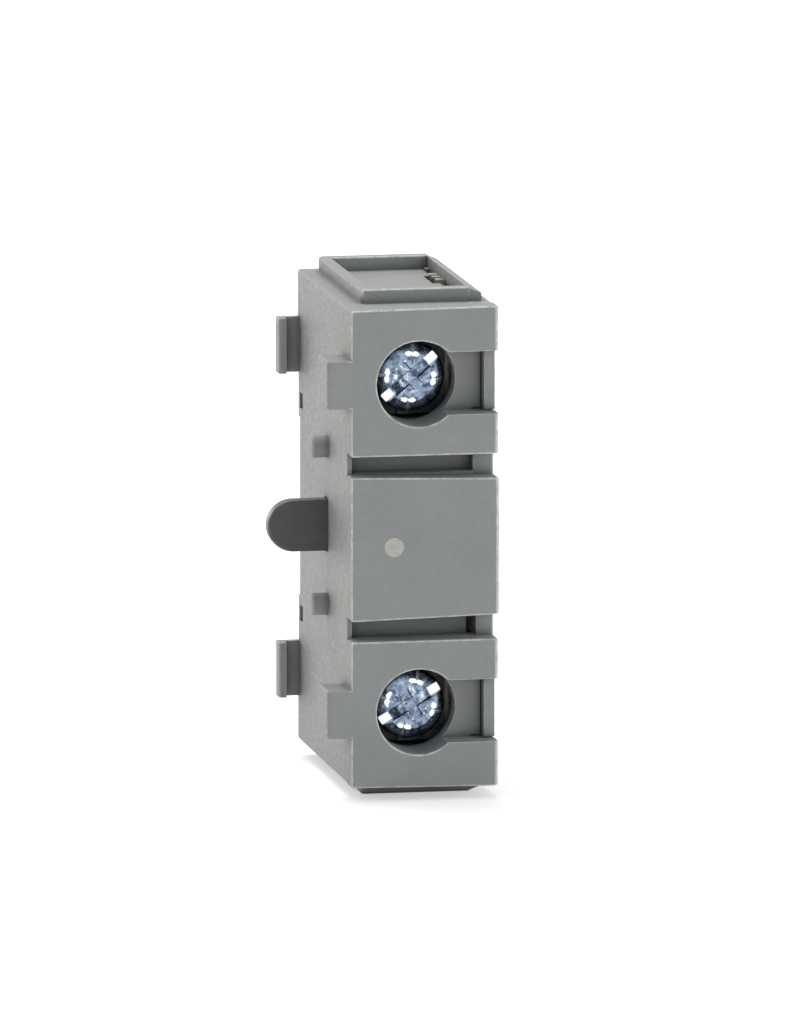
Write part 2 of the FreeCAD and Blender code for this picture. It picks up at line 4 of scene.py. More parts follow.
import bpy
import numpy as np
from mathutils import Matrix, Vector


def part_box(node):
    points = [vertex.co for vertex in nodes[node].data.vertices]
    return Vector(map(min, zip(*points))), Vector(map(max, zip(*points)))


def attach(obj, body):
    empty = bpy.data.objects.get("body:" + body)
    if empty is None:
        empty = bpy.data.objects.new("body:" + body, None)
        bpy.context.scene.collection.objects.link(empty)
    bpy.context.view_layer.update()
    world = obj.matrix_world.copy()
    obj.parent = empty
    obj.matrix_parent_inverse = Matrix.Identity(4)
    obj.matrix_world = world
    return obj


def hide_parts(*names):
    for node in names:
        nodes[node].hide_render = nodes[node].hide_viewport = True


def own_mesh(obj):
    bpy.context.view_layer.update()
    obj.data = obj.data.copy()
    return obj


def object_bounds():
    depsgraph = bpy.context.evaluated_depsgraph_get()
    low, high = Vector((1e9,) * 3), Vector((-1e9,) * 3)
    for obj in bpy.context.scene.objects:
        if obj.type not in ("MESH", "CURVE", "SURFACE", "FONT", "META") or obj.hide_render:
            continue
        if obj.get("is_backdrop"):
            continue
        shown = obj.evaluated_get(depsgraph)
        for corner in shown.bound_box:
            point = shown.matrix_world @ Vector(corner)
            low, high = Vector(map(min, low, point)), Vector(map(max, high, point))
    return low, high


mm = 0.001
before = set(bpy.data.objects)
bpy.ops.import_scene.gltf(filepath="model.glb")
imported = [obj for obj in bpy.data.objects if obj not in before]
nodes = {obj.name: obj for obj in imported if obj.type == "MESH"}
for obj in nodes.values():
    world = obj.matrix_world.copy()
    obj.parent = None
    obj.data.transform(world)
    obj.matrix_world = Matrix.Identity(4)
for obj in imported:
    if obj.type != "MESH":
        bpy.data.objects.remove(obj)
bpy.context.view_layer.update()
print("frame loaded:", len(nodes), "CAD nodes")


# Small helpers

def linearColour(hexText, alpha=1.0):
    # sRGB hex to linear: below 0.04045 a straight line, above it a power of 2.4
    channels = np.array([int(hexText[i:i + 2], 16) for i in (1, 3, 5)]) / 255
    linear = np.where(channels <= 0.04045, channels / 12.92, ((channels + 0.055) / 1.055) ** 2.4)
    return (*(float(c) for c in linear), alpha)


def addNode(tree, kind, settings=None, links=None):
    node = tree.nodes.new(kind)
    for key, value in (settings or {}).items():
        if isinstance(key, int) or key in node.inputs:
            node.inputs[key].default_value = value
        else:
            setattr(node, key, value)
    for key, source in (links or {}).items():
        tree.links.new(source, node.inputs[key])
    return node


def newMaterial(name):
    material = bpy.data.materials.new(name)
    material.use_nodes = True
    tree = material.node_tree
    tree.nodes.clear()
    output = addNode(tree, "ShaderNodeOutputMaterial")
    shader = addNode(tree, "ShaderNodeBsdfPrincipled")
    tree.links.new(shader.outputs["BSDF"], output.inputs["Surface"])
    return material, tree, shader


def seenByEye(tree):
    # 1 for the rays of the camera, of mirrors and of glass, which see the studio white
    path = addNode(tree, "ShaderNodeLightPath")
    seen = addNode(tree, "ShaderNodeMath", {"operation": "MAXIMUM"},
                   {0: path.outputs["Is Camera Ray"], 1: path.outputs["Is Glossy Ray"]})
    seenToo = addNode(tree, "ShaderNodeMath", {"operation": "MAXIMUM"},
                      {0: seen.outputs["Value"], 1: path.outputs["Is Transmission Ray"]})
    return seenToo.outputs["Value"]


def dress(names, material):
    for name in names:
        piece = nodes[name]
        piece.data.materials.clear()
        piece.data.materials.append(material)


def closedMesh(name, points):
    # A stack of rings (ring, place round it, 3) becomes quads, with a fan of triangles over each end
    rings, around = points.shape[:2]
    index = np.arange(rings * around).reshape(rings, around)
    near, far = index[:-1], index[1:]
    faces = np.stack([near, far, np.roll(far, -1, 1), np.roll(near, -1, 1)], -1).reshape(-1, 4).tolist()
    vertices = np.concatenate([points.reshape(-1, 3), [points[0].mean(0), points[-1].mean(0)]])
    first, last = rings * around, rings * around + 1
    faces += np.stack([np.roll(index[0], -1), np.full(around, first), index[0]], -1).tolist()
    faces += np.stack([index[-1], np.full(around, last), np.roll(index[-1], -1)], -1).tolist()
    # A negative volume means that the faces point inwards
    corners = np.array([[vertices[f[0]], vertices[f[1]], vertices[f[2]]] for f in faces])
    volume = np.einsum("ij,ij->i", corners[:, 0], np.cross(corners[:, 1], corners[:, 2])).sum()
    if volume < 0:
        faces = [f[::-1] for f in faces]
    mesh = bpy.data.meshes.new(name)
    mesh.from_pydata(vertices.tolist(), [], faces)
    mesh.shade_smooth()
    piece = bpy.data.objects.new(name, mesh)
    bpy.context.scene.collection.objects.link(piece)
    return piece


# Materials

# Glass-filled polyamide, injection moulded in a spark-eroded tool: matte, with cloudy patches, a fine
# grain and pale specks of fibre at the surface. Shade is painted into the corners as a darker colour, and
# edges are painted paler, partly as rubbing and partly as a painted highlight. The flow stretches specks
# and streaks from front to back on the sides.
polyamide = {
    "colour": "#959898", "cloudColour": "#8e9191", "speckColour": "#bdbeb6", "rubbedAndHighlitColour": "#dcddd3",
    "paintedShadeColour": "#4c4d4b", "paintedShadeReach": 1.1, "paintedShadeMost": 0.78,
    "cloudSize": 5.0, "mottleSize": 0.9, "grainSize": 0.16, "speckSize": 0.36, "speckMost": 0.7,
    "streakSize": 0.45, "streakDark": -0.18, "streakPale": 0.09, "flow": (1.0, 0.35, 0.9),
    "offSides": 0.12, "edgeRadius": 0.14, "edgeLeast": 0.4, "hooksEnd": -0.3, "caseStart": -0.1,
    "roughness": 0.58, "roughSpread": 0.06, "grainDepth": 0.01, "ior": 1.52,
}


def mouldedPolyamide(look):
    material, tree, shader = newMaterial("glassFilledPolyamideMoulded")
    place = addNode(tree, "ShaderNodeTexCoord").outputs["Object"]
    cloud = addNode(tree, "ShaderNodeTexNoise", {"Scale": 1 / (look["cloudSize"] * mm), "Detail": 4.0,
                                                 "Roughness": 0.6}, {"Vector": place})
    mottle = addNode(tree, "ShaderNodeTexNoise", {"Scale": 1 / (look["mottleSize"] * mm), "Detail": 3.0,
                                                  "Roughness": 0.65}, {"Vector": place})
    grain = addNode(tree, "ShaderNodeTexNoise", {"Scale": 1 / (look["grainSize"] * mm), "Detail": 2.0,
                                                 "Roughness": 0.7}, {"Vector": place})
    flow = addNode(tree, "ShaderNodeMapping", {"Scale": look["flow"]}, {"Vector": place})
    speck = addNode(tree, "ShaderNodeTexNoise", {"Scale": 1 / (look["speckSize"] * mm), "Detail": 2.0},
                    {"Vector": flow.outputs["Vector"]})
    cloudShare = addNode(tree, "ShaderNodeMapRange", {"From Min": 0.35, "From Max": 0.65, "To Max": 0.6},
                         {"Value": cloud.outputs["Fac"]})
    base = addNode(tree, "ShaderNodeMix", {"data_type": "RGBA", 6: linearColour(look["colour"]),
                                           7: linearColour(look["cloudColour"])},
                   {"Factor": cloudShare.outputs["Result"]})
    speckShare = addNode(tree, "ShaderNodeMapRange", {"From Min": 0.62, "From Max": 0.74,
                                                      "To Max": look["speckMost"]},
                         {"Value": speck.outputs["Fac"]})
    # How much a face looks sideways, to the mounting side or the cover side
    true = addNode(tree, "ShaderNodeNewGeometry")
    size = addNode(tree, "ShaderNodeVectorMath", {"operation": "ABSOLUTE"}, {0: true.outputs["Normal"]})
    part = addNode(tree, "ShaderNodeSeparateXYZ", {}, {0: size.outputs["Vector"]})
    sideways = addNode(tree, "ShaderNodeMapRange", {"From Min": 0.5, "From Max": 0.9,
                                                    "To Min": look["offSides"]},
                       {"Value": part.outputs["X"]})
    scuffed = addNode(tree, "ShaderNodeMath", {"operation": "MULTIPLY"},
                      {0: speckShare.outputs["Result"], 1: sideways.outputs["Result"]})
    specked = addNode(tree, "ShaderNodeMix", {"data_type": "RGBA", 7: linearColour(look["speckColour"])},
                      {"Factor": scuffed.outputs["Value"], 6: base.outputs[2]})
    mottleShare = addNode(tree, "ShaderNodeMapRange", {"From Min": 0.3, "From Max": 0.7, "To Min": 0.97,
                                                       "To Max": 1.03}, {"Value": mottle.outputs["Fac"]})
    grainShare = addNode(tree, "ShaderNodeMapRange", {"From Min": 0.3, "From Max": 0.7, "To Min": 0.965,
                                                      "To Max": 1.03}, {"Value": grain.outputs["Fac"]})
    # Both sides have slid on a neighbour, and are streaked from front to back
    streak = addNode(tree, "ShaderNodeTexNoise", {"Scale": 1 / (look["streakSize"] * mm), "Detail": 4.0,
                                                  "Roughness": 0.7}, {"Vector": flow.outputs["Vector"]})
    streakShare = addNode(tree, "ShaderNodeMapRange", {"From Min": 0.36, "From Max": 0.64,
                                                       "To Min": look["streakDark"],
                                                       "To Max": look["streakPale"]},
                          {"Value": streak.outputs["Fac"]})
    streaked = addNode(tree, "ShaderNodeMath", {"operation": "MULTIPLY_ADD", 2: 1.0},
                       {0: streakShare.outputs["Result"], 1: sideways.outputs["Result"]})
    fineTone = addNode(tree, "ShaderNodeMath", {"operation": "MULTIPLY"},
                       {0: mottleShare.outputs["Result"], 1: grainShare.outputs["Result"]})
    tone = addNode(tree, "ShaderNodeMath", {"operation": "MULTIPLY"},
                   {0: fineTone.outputs["Value"], 1: streaked.outputs["Value"]})
    toned = addNode(tree, "ShaderNodeVectorMath", {"operation": "SCALE"},
                    {0: specked.outputs[2], "Scale": tone.outputs["Value"]})
    # How open each place is within the reach of the painted shade: corners are darkened with painted shade,
    # and only open edges are made paler (rubbing and painted highlight)
    openness = addNode(tree, "ShaderNodeAmbientOcclusion", {"samples": 8,
                                                            "Distance": look["paintedShadeReach"] * mm})
    paintedShadeShare = addNode(tree, "ShaderNodeMapRange", {"From Min": 0.91, "From Max": 0.42,
                                                     "To Max": look["paintedShadeMost"]},
                        {"Value": openness.outputs["AO"]})
    # Painted shade: the colour is darkened where the place is closed in, as shade falls there
    paintedShaded = addNode(tree, "ShaderNodeMix", {"data_type": "RGBA", 7: linearColour(look["paintedShadeColour"])},
                     {"Factor": paintedShadeShare.outputs["Result"], 6: toned.outputs["Vector"]})
    exposed = addNode(tree, "ShaderNodeMapRange", {"From Min": 0.8, "From Max": 0.92},
                      {"Value": openness.outputs["AO"]})
    # A rounded normal differs from the true one only near a sharp edge
    rounded = addNode(tree, "ShaderNodeBevel", {"samples": 8, "Radius": look["edgeRadius"] * mm})
    same = addNode(tree, "ShaderNodeVectorMath", {"operation": "DOT_PRODUCT"},
                   {0: rounded.outputs["Normal"], 1: true.outputs["Normal"]})
    sharp = addNode(tree, "ShaderNodeMapRange", {"From Min": 0.995, "From Max": 0.93},
                    {"Value": same.outputs["Value"]})
    # On a moulded round towards the front the normal leans away from all three axes
    side = addNode(tree, "ShaderNodeMath", {"operation": "MAXIMUM"},
                   {0: part.outputs["X"], 1: part.outputs["Z"]})
    largest = addNode(tree, "ShaderNodeMath", {"operation": "MAXIMUM"},
                      {0: side.outputs["Value"], 1: part.outputs["Y"]})
    leaning = addNode(tree, "ShaderNodeMapRange", {"From Min": 0.97, "From Max": 0.88},
                      {"Value": largest.outputs["Value"]})
    frontward = addNode(tree, "ShaderNodeMapRange", {"From Min": 0.12, "From Max": 0.3},
                        {"Value": part.outputs["Y"]})
    # The hooks, pegs and tabs stand out past the case, at a negative x, and keep their rounds plain
    spot = addNode(tree, "ShaderNodeSeparateXYZ", {}, {0: place})
    onCase = addNode(tree, "ShaderNodeMapRange", {"From Min": look["hooksEnd"] * mm,
                                                  "From Max": look["caseStart"] * mm},
                     {"Value": spot.outputs["X"]})
    moulded = addNode(tree, "ShaderNodeMath", {"operation": "MULTIPLY"},
                      {0: leaning.outputs["Result"], 1: frontward.outputs["Result"]})
    mouldedCase = addNode(tree, "ShaderNodeMath", {"operation": "MULTIPLY"},
                          {0: moulded.outputs["Value"], 1: onCase.outputs["Result"]})
    # Edges are painted paler: partly rubbed plastic, partly a painted highlight of light caught on the
    # rounds and sharp edges
    anyEdge = addNode(tree, "ShaderNodeMath", {"operation": "MAXIMUM"},
                      {0: sharp.outputs["Result"], 1: mouldedCase.outputs["Value"]})
    edge = addNode(tree, "ShaderNodeMath", {"operation": "MULTIPLY"},
                   {0: anyEdge.outputs["Value"], 1: exposed.outputs["Result"]})
    wornAndHighlitPatches = addNode(tree, "ShaderNodeMapRange", {"From Min": 0.36, "From Max": 0.6,
                                                "To Min": look["edgeLeast"], "To Max": 1.0},
                   {"Value": mottle.outputs["Fac"]})
    rubbed = addNode(tree, "ShaderNodeMath", {"operation": "MULTIPLY"},
                     {0: edge.outputs["Value"], 1: wornAndHighlitPatches.outputs["Result"]})
    # The paler edge colour is partly wear and partly a painted highlight
    colour = addNode(tree, "ShaderNodeMix", {"data_type": "RGBA", 7: linearColour(look["rubbedAndHighlitColour"])},
                     {"Factor": rubbed.outputs["Value"], 6: paintedShaded.outputs[2]})
    tree.links.new(colour.outputs[2], shader.inputs["Base Color"])
    rough = addNode(tree, "ShaderNodeMapRange", {"From Min": 0.3, "From Max": 0.7,
                                                 "To Min": look["roughness"] - look["roughSpread"],
                                                 "To Max": look["roughness"] + look["roughSpread"]},
                    {"Value": mottle.outputs["Fac"]})
    tree.links.new(rough.outputs["Result"], shader.inputs["Roughness"])
    bump = addNode(tree, "ShaderNodeBump", {"Strength": 0.5, "Distance": look["grainDepth"] * mm},
                   {"Height": grain.outputs["Fac"], "Normal": rounded.outputs["Normal"]})
    tree.links.new(bump.outputs["Normal"], shader.inputs["Normal"])
    shader.inputs["IOR"].default_value = look["ior"]
    return material


# Acetal copolymer, moulded and worn smooth by sliding: dark brown grey with a satin shine
acetal = {
    "colour": "#545250", "darkColour": "#484644", "cloudSize": 2.2, "rubSize": 0.3,
    "slide": (0.15, 1.0, 1.0), "roughness": 0.42, "roughSpread": 0.08, "grainSize": 0.12,
    "grainDepth": 0.008, "ior": 1.48,
}


def slidingAcetal(look):
    material, tree, shader = newMaterial("acetalMouldedSliding")
    place = addNode(tree, "ShaderNodeTexCoord").outputs["Object"]
    # Rub marks are drawn out along x, the way that the plunger slides
    streak = addNode(tree, "ShaderNodeMapping", {"Scale": look["slide"]}, {"Vector": place})
    rubbed = addNode(tree, "ShaderNodeTexNoise", {"Scale": 1 / (look["rubSize"] * mm), "Detail": 3.0},
                     {"Vector": streak.outputs["Vector"]})
    cloud = addNode(tree, "ShaderNodeTexNoise", {"Scale": 1 / (look["cloudSize"] * mm), "Detail": 3.0},
                    {"Vector": place})
    share = addNode(tree, "ShaderNodeMath", {"operation": "MULTIPLY"},
                    {0: rubbed.outputs["Fac"], 1: cloud.outputs["Fac"]})
    spread = addNode(tree, "ShaderNodeMapRange", {"From Min": 0.12, "From Max": 0.38},
                     {"Value": share.outputs["Value"]})
    colour = addNode(tree, "ShaderNodeMix", {"data_type": "RGBA", 6: linearColour(look["darkColour"]),
                                             7: linearColour(look["colour"])},
                     {"Factor": spread.outputs["Result"]})
    tree.links.new(colour.outputs[2], shader.inputs["Base Color"])
    rough = addNode(tree, "ShaderNodeMapRange", {"From Min": 0.3, "From Max": 0.7,
                                                 "To Min": look["roughness"] - look["roughSpread"],
                                                 "To Max": look["roughness"] + look["roughSpread"]},
                    {"Value": rubbed.outputs["Fac"]})
    tree.links.new(rough.outputs["Result"], shader.inputs["Roughness"])
    grain = addNode(tree, "ShaderNodeTexNoise", {"Scale": 1 / (look["grainSize"] * mm)}, {"Vector": place})
    bump = addNode(tree, "ShaderNodeBump", {"Strength": 0.4, "Distance": look["grainDepth"] * mm},
                   {"Height": grain.outputs["Fac"]})
    tree.links.new(bump.outputs["Normal"], shader.inputs["Normal"])
    shader.inputs["IOR"].default_value = look["ior"]
    return material


# Metals: each row is the colour, a second colour that comes in patches, the roughness, the sizes of the
# patches and of the fine lines in millimetres, the lines' stretch and their depth
metals = {
    # Steel, zinc plated and blue passivated: a cold cast that changes from place to place
    "zincBluePassivated": {"colour": "#93a4ba", "second": "#41526a", "roughness": 0.2, "patch": 0.75,
                           "line": 0.12, "stretch": (1.0, 1.0, 1.0), "depth": 0.003},
    # Steel, zinc plated and dulled: a greyer, rougher coat on the stamped clamp plates
    "zincDulledStamped": {"colour": "#5d6062", "second": "#404244", "roughness": 0.45, "patch": 1.6,
                          "line": 0.14, "stretch": (1.0, 1.0, 1.0), "depth": 0.01},
    # Spring steel wire, drawn: fine marks along the wire
    "springSteelDrawn": {"colour": "#a9a9ab", "second": "#8b8b8d", "roughness": 0.3, "patch": 0.7,
                         "line": 0.06, "stretch": (1.0, 1.0, 1.0), "depth": 0.004},
    # Brass sheet, rolled, stamped and tin plated: pale, with a little of the brass showing through
    "brassTinPlated": {"colour": "#c4c2b8", "second": "#a39e8c", "roughness": 0.38, "patch": 2.4,
                       "line": 0.12, "stretch": (1.0, 1.0, 0.08), "depth": 0.005},
    # Copper alloy strip, rolled: redder than the brass, with the same lines
    "copperAlloyRolled": {"colour": "#c07c55", "second": "#8e563b", "roughness": 0.34, "patch": 1.8,
                          "line": 0.1, "stretch": (1.0, 1.0, 0.08), "depth": 0.006},
    # Silver alloy, pressed on: pale and soft, slightly yellowed
    "silverAlloyPressed": {"colour": "#dcdbd6", "second": "#b5b1a5", "roughness": 0.28, "patch": 0.8,
                           "line": 0.08, "stretch": (1.0, 1.0, 1.0), "depth": 0.004},
}


# Bare metal where a piece is rubbed bright, and the size of the flecks where it is only worn
rubbedMetal = {"colour": "#f4f6f8", "fleckSize": 0.55}


def metalMaterial(name, look):
    material, tree, shader = newMaterial(name)
    place = addNode(tree, "ShaderNodeTexCoord").outputs["Object"]
    patch = addNode(tree, "ShaderNodeTexNoise", {"Scale": 1 / (look["patch"] * mm), "Detail": 4.0,
                                                 "Roughness": 0.65}, {"Vector": place})
    drawn = addNode(tree, "ShaderNodeMapping", {"Scale": look["stretch"]}, {"Vector": place})
    line = addNode(tree, "ShaderNodeTexNoise", {"Scale": 1 / (look["line"] * mm), "Detail": 2.0},
                   {"Vector": drawn.outputs["Vector"]})
    share = addNode(tree, "ShaderNodeMapRange", {"From Min": 0.41, "From Max": 0.61},
                    {"Value": patch.outputs["Fac"]})
    colour = addNode(tree, "ShaderNodeMix", {"data_type": "RGBA", 6: linearColour(look["colour"]),
                                             7: linearColour(look["second"])},
                     {"Factor": share.outputs["Result"]})
    # The attribute is 1 where a piece has been rubbed bright, between where it is worn in flecks, and 0
    # on a piece that has none
    bright = addNode(tree, "ShaderNodeAttribute", {"attribute_name": "bright"})
    fleck = addNode(tree, "ShaderNodeTexNoise", {"Scale": 1 / (rubbedMetal["fleckSize"] * mm), "Detail": 3.0,
                                                 "Distortion": 1.2}, {"Vector": place})
    marked = addNode(tree, "ShaderNodeMath", {"operation": "ADD"},
                     {0: bright.outputs["Fac"], 1: fleck.outputs["Fac"]})
    bare = addNode(tree, "ShaderNodeMapRange", {"From Min": 1.0, "From Max": 1.18},
                   {"Value": marked.outputs["Value"]})
    rubbed = addNode(tree, "ShaderNodeMix", {"data_type": "RGBA", 7: linearColour(rubbedMetal["colour"])},
                     {"Factor": bare.outputs["Result"], 6: colour.outputs[2]})
    tree.links.new(rubbed.outputs[2], shader.inputs["Base Color"])
    rough = addNode(tree, "ShaderNodeMapRange", {"From Min": 0.3, "From Max": 0.7,
                                                 "To Min": look["roughness"] - 0.08,
                                                 "To Max": look["roughness"] + 0.12},
                    {"Value": line.outputs["Fac"]})
    tree.links.new(rough.outputs["Result"], shader.inputs["Roughness"])
    bump = addNode(tree, "ShaderNodeBump", {"Strength": 0.5, "Distance": look["depth"] * mm},
                   {"Height": line.outputs["Fac"]})
    tree.links.new(bump.outputs["Normal"], shader.inputs["Normal"])
    shader.inputs["Metallic"].default_value = 1.0
    return material


# Pad-printed ink: flat, pale and slightly uneven where the ink is thin
ink = {"colour": "#c0beb8", "thinColour": "#aeada9", "patch": 0.35, "roughness": 0.6}


def printedInk(look):
    material, tree, shader = newMaterial("inkPadPrinted")
    place = addNode(tree, "ShaderNodeTexCoord").outputs["Object"]
    thin = addNode(tree, "ShaderNodeTexNoise", {"Scale": 1 / (look["patch"] * mm), "Detail": 3.0},
                   {"Vector": place})
    share = addNode(tree, "ShaderNodeMapRange", {"From Min": 0.45, "From Max": 0.7},
                    {"Value": thin.outputs["Fac"]})
    colour = addNode(tree, "ShaderNodeMix", {"data_type": "RGBA", 6: linearColour(look["colour"]),
                                             7: linearColour(look["thinColour"])},
                     {"Factor": share.outputs["Result"]})
    tree.links.new(colour.outputs[2], shader.inputs["Base Color"])
    shader.inputs["Roughness"].default_value = look["roughness"]
    return material


polyamideLook = mouldedPolyamide(polyamide)
acetalLook = slidingAcetal(acetal)
metalLooks = {name: metalMaterial(name, look) for name, look in metals.items()}
inkLook = printedInk(ink)

sides = ("upper", "lower")
dress(["housing", "side_cover"], polyamideLook)
dress(["plunger"], acetalLook)
dress([s + "_terminal_screw" for s in sides] + [s + "_lock_washer" for s in sides]
      + [s + "_terminal_nut" for s in sides], metalLooks["zincBluePassivated"])
dress([s + "_clamp_washer" for s in sides], metalLooks["zincDulledStamped"])
dress(["bridge_retainer"], metalLooks["springSteelDrawn"])
dress([s + "_terminal_strip" for s in sides], metalLooks["brassTinPlated"])
dress(["contact_bridge"], metalLooks["copperAlloyRolled"])
dress([s + "_fixed_tip" for s in sides] + [s + "_bridge_tip" for s in sides],
      metalLooks["silverAlloyPressed"])
print("materials made:", len(bpy.data.materials))


# Coil springs with closed end turns

springs = {
    "contact_coil": {"node": "contact_spring", "body": "plunger", "joint": "bridge_follow", "wire": 0.35,
                     "turns": 4.5, "held": "start", "shortens": 0.92},
    "return_coil": {"node": "return_spring", "body": "base", "joint": "plunger_push", "wire": 0.28,
                    "turns": 11, "held": "end", "shortens": 3.0},
}


def coilPoints(look, seat, around=14, perTurn=36):
    # The wire's centre goes round the axis while it advances: slowly in the first and last turn,
    # where the turns touch, and evenly between. A ring of points round the wire follows it.
    t = np.linspace(0, look["turns"], int(look["turns"] * perTurn) + 1)
    closed = 0.9
    free = np.clip((t - closed) / (look["turns"] - 2 * closed), 0, 1)
    length = seat["end"] - seat["start"] - look["wire"]
    creep = look["wire"] * 1.02
    ends = np.clip(t, 0, closed) * creep + np.clip(t - look["turns"] + closed, 0, closed) * creep
    x = seat["start"] + look["wire"] / 2 + ends + (length - 2 * closed * creep) * free
    angle = 2 * np.pi * t
    radius = (seat["across"] - look["wire"]) / 2
    centre = np.stack([x, radius * np.cos(angle), radius * np.sin(angle)], -1)
    outward = np.stack([0 * x, np.cos(angle), np.sin(angle)], -1)
    along = np.gradient(centre, axis=0)
    along /= np.linalg.norm(along, axis=1)[:, None]
    across = np.cross(along, outward)
    ring = np.linspace(0, 2 * np.pi, around, endpoint=False)
    tube = np.cos(ring)[None, :, None] * outward[:, None] + np.sin(ring)[None, :, None] * across[:, None]
    return (centre[:, None] + tube * look["wire"] / 2) * mm


for name, look in springs.items():
    low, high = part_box(look["node"])
    seat = {"start": low.x / mm, "end": high.x / mm, "across": (high.z - low.z) / mm}
    coil = closedMesh(name, coilPoints(look, seat))
    coil.data.materials.append(metalLooks["springSteelDrawn"])
    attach(coil, look["body"])
    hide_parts(look["node"])
    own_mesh(coil)
print("springs wound:", len(springs))


# Terminal screws: pan head with a slot, a cross recess and four punched marks, and a rolled thread

screws = {
    "head": 6.6, "flat": 4.6, "headHeight": 1.99, "domeStart": 0.22, "domeDrop": 0.8, "edgeRound": 0.12,
    "slotWidth": 0.95, "slotDepth": 0.54, "slotMiddle": 0.2, "stepStart": 0.8, "stepLength": 1.3,
    "wallSlope": 0.09, "domeMark": 0.44, "recessMark": 0.46, "flatMark": 0.36, "recessReach": 1.9,
    "rubStart": 2.05, "scoreStart": 1.9, "burrAside": 0.2, "burrWidth": 0.24, "burrLength": 0.17,
    "crossReach": 1.65, "crossFloor": 0.25, "crossWidth": 0.95, "crossDepth": 0.3,
    "markStart": 1.5, "markWidth": 0.24, "markDepth": 0.08, "burrPlace": 2.2, "burrHeight": 0.09,
    "major": 3.5, "minor": 2.86, "pitch": 0.6, "runOut": 0.5, "endChamfer": 0.35, "bunching": 0.16,
    "turns": {"upper": 40.0, "lower": 30.0},
}


def smooth(value):
    share = np.clip(value, 0, 1)
    return share * share * (3 - 2 * share)


def headDepth(look, radius, angle):
    # The head as a depth below its flat: a dome that steepens outwards, and the deeper of it, the slot
    # (shallower in the middle) and the two wings of the cross, whose ends slope in.
    # Four V grooves widen outwards between the wings, with a burr on both sides.
    wide, flat = look["head"] / 2, look["flat"] / 2
    past = np.clip((radius - flat) / (wide - flat), 0, 1)
    depth = look["domeStart"] * past + (look["domeDrop"] - look["domeStart"]) * past ** 4
    along, across = radius * np.cos(angle), radius * np.sin(angle)
    slotWall = smooth(0.5 - (np.abs(across) - look["slotWidth"] / 2) / look["wallSlope"])
    step = smooth((np.abs(along) - look["stepStart"]) / look["stepLength"])
    slot = (look["slotMiddle"] + (look["slotDepth"] - look["slotMiddle"]) * step) * slotWall
    quarter = np.mod(angle, np.pi / 2) - np.pi / 4
    aside = np.abs(radius * np.sin(quarter))
    outward = np.clip((radius - look["markStart"]) / (wide - look["markStart"]), 0, 1)
    halfWidth = look["markWidth"] * (0.25 + 0.75 * outward)
    groove = look["markDepth"] * outward ** 0.5 * np.clip(1 - aside / halfWidth, 0, 1)
    burr = look["burrHeight"] * np.exp(-((aside - halfWidth - look["burrAside"]) / look["burrWidth"]) ** 2
                                       - ((radius - look["burrPlace"]) / look["burrLength"]) ** 2)
    depth = depth + groove - burr
    for near, far in ((along, across), (across, along)):
        wall = smooth(0.5 - (np.abs(far) - look["crossWidth"] / 2) / look["wallSlope"])
        slope = (look["crossReach"] - np.abs(near)) / (look["crossReach"] - look["crossFloor"])
        depth = np.maximum(depth, look["crossDepth"] * np.clip(slope, 0, 1) * wall)
    # Rubbed bright: the ends of the slot, the burrs and the grooves
    rubbed = smooth((radius - look["rubStart"]) / 0.2) * slotWall
    struck = np.clip(burr / look["burrHeight"] * 1.6, 0, 1)
    scored = np.clip(2.2 * groove / look["markDepth"] - 0.3, 0, 1)
    scored = smooth((radius - look["scoreStart"]) / 0.3) * scored
    # The plating is worn in flecks: most in the recess, where the driver has been, and on the dome
    recess = smooth((look["recessReach"] - radius) / 0.4)
    dome = smooth((radius - flat - 0.05) / 0.3)
    worn = look["flatMark"] + (look["recessMark"] - look["flatMark"]) * recess
    worn = worn + (look["domeMark"] - look["flatMark"]) * dome
    return np.maximum(depth, slot), np.clip(rubbed + struck + scored + worn, 0, 1)


def screwPoints(look, length, turn, across=288):
    # Rings of points from the middle of the head out over the dome, down the skirt and back under it,
    # then along the shank, where the radius swings between minor and major with depth / pitch + angle
    # The points round it bunch towards the slot's line, where the walls need them
    share = np.linspace(0, 2 * np.pi, across, endpoint=False)
    angle = share - look["bunching"] * np.sin(2 * share)
    wide, height, shank = look["head"] / 2, look["headHeight"], look["major"] / 2
    arc = np.linspace(0, np.pi / 2, 26)[1:]
    flat = look["flat"] / 2
    topRadii = np.concatenate([np.linspace(0.002, flat, 64), flat + (wide - flat) * np.sin(arc)])[:, None]
    top, bright = headDepth(look, topRadii, angle[None, :])
    corner = np.linspace(0, np.pi / 2, 5)
    bottomRadii = np.concatenate([[wide], wide - look["edgeRound"] * (1 - np.cos(corner)), [shank + 0.4]])
    bottomDepths = np.concatenate([[look["domeDrop"] + 0.3],
                                   height - look["edgeRound"] * (1 - np.sin(corner)), [height]])
    steps = np.arange(height, length - look["endChamfer"], look["pitch"] / 8)[:, None]
    wave = np.abs(2 * np.mod(steps / look["pitch"] + angle[None, :] / (2 * np.pi), 1) - 1)
    started = smooth((steps - height) / look["runOut"])
    cut = (shank - look["minor"] / 2) * smooth(1.15 * wave - 0.05) * started
    endRadii = np.array([shank - 0.05, shank - look["endChamfer"], 0.002])
    endDepths = np.array([length - look["endChamfer"], length, length])
    ones = np.ones((1, across))
    radii = np.concatenate([topRadii * ones, bottomRadii[:, None] * ones, shank - cut,
                            endRadii[:, None] * ones])
    depths = np.concatenate([top, bottomDepths[:, None] * ones, steps * ones, endDepths[:, None] * ones])
    bright = np.concatenate([bright, np.zeros((len(radii) - len(bright), across))])
    direction = angle + np.radians(turn)
    points = np.stack([radii * np.cos(direction), depths, radii * np.sin(direction)], -1)
    return points, bright


